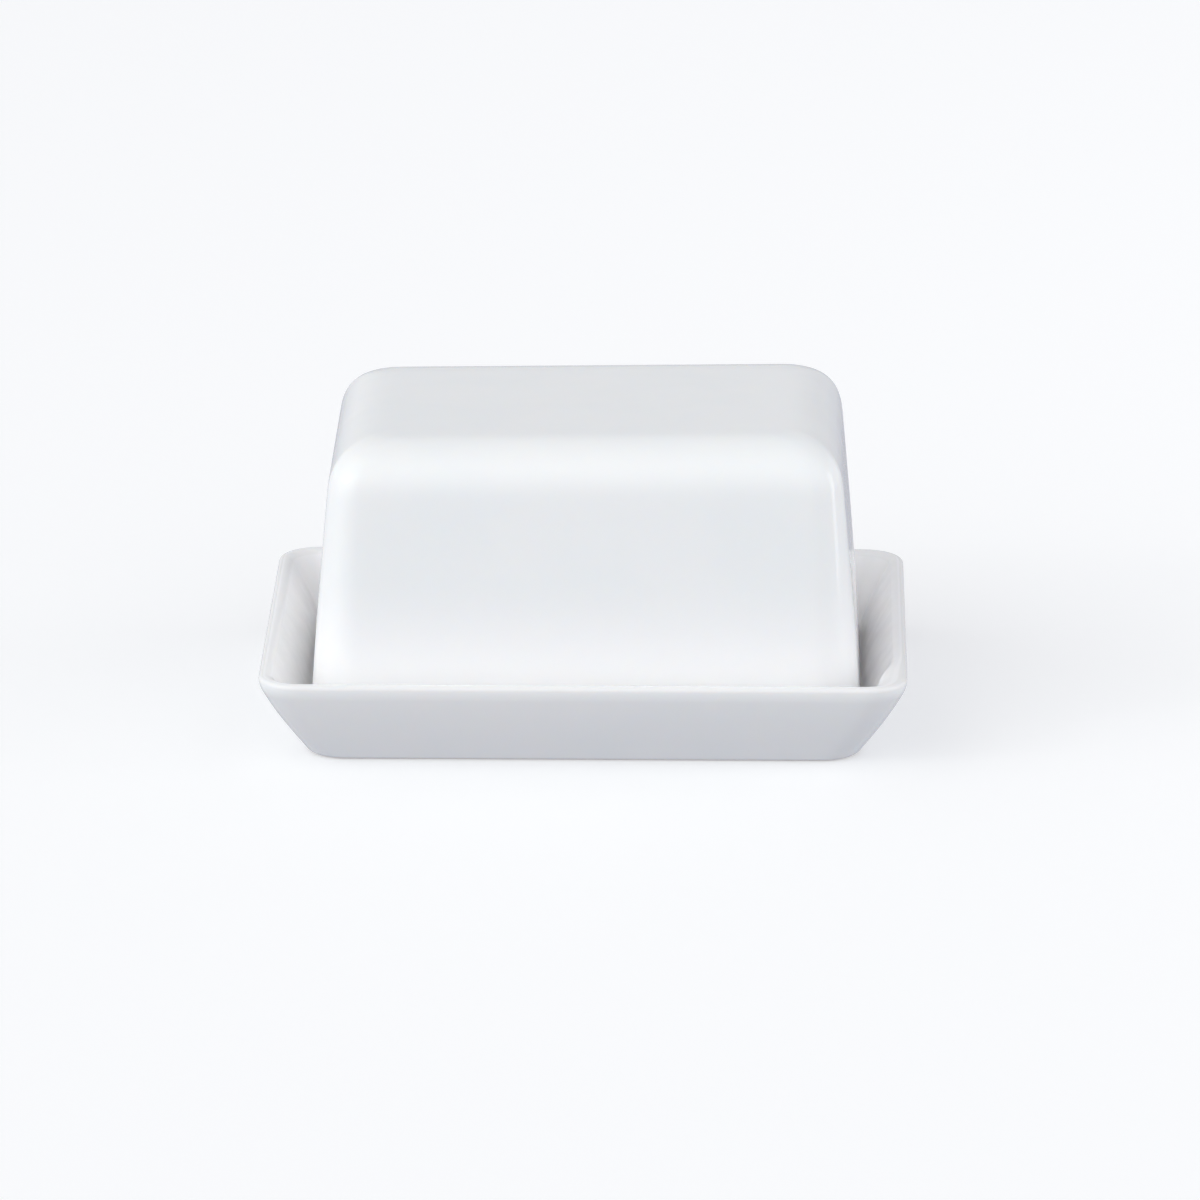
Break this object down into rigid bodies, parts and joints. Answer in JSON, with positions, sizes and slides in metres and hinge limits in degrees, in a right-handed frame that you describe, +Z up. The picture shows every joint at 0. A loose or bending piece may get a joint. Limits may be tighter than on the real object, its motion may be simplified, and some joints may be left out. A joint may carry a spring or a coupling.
{
  "type": "butter dish",
  "caption": "Rectangular white porcelain butter dish: a shallow tray with flared walls and a tall, plain, drafted lid that stands in it and lifts straight off.",
  "frame": {"origin": "on the table, under the middle of the tray", "axes": "+X along the dish's length, +Y across it towards the back, +Z up, the way the lid lifts"},
  "size_m": [0.17, 0.128, 0.0845],
  "materials": {
    "tray_glaze": "glossy white glaze over porcelain, bare and matt on the foot ring",
    "lid_glaze": "glossy white glaze over porcelain, bare and matt on the rim's standing edge"
  },
  "bodies": {
    "tray": {"tray": "tray_glaze"},
    "lid": {"lid": "lid_glaze"}
  },
  "joints": [
    {"name": "lid_lift", "type": "slide", "parent": "tray", "child": "lid", "axis": [0, 0, 1], "range_m": [0, 0.1]}
  ]
}
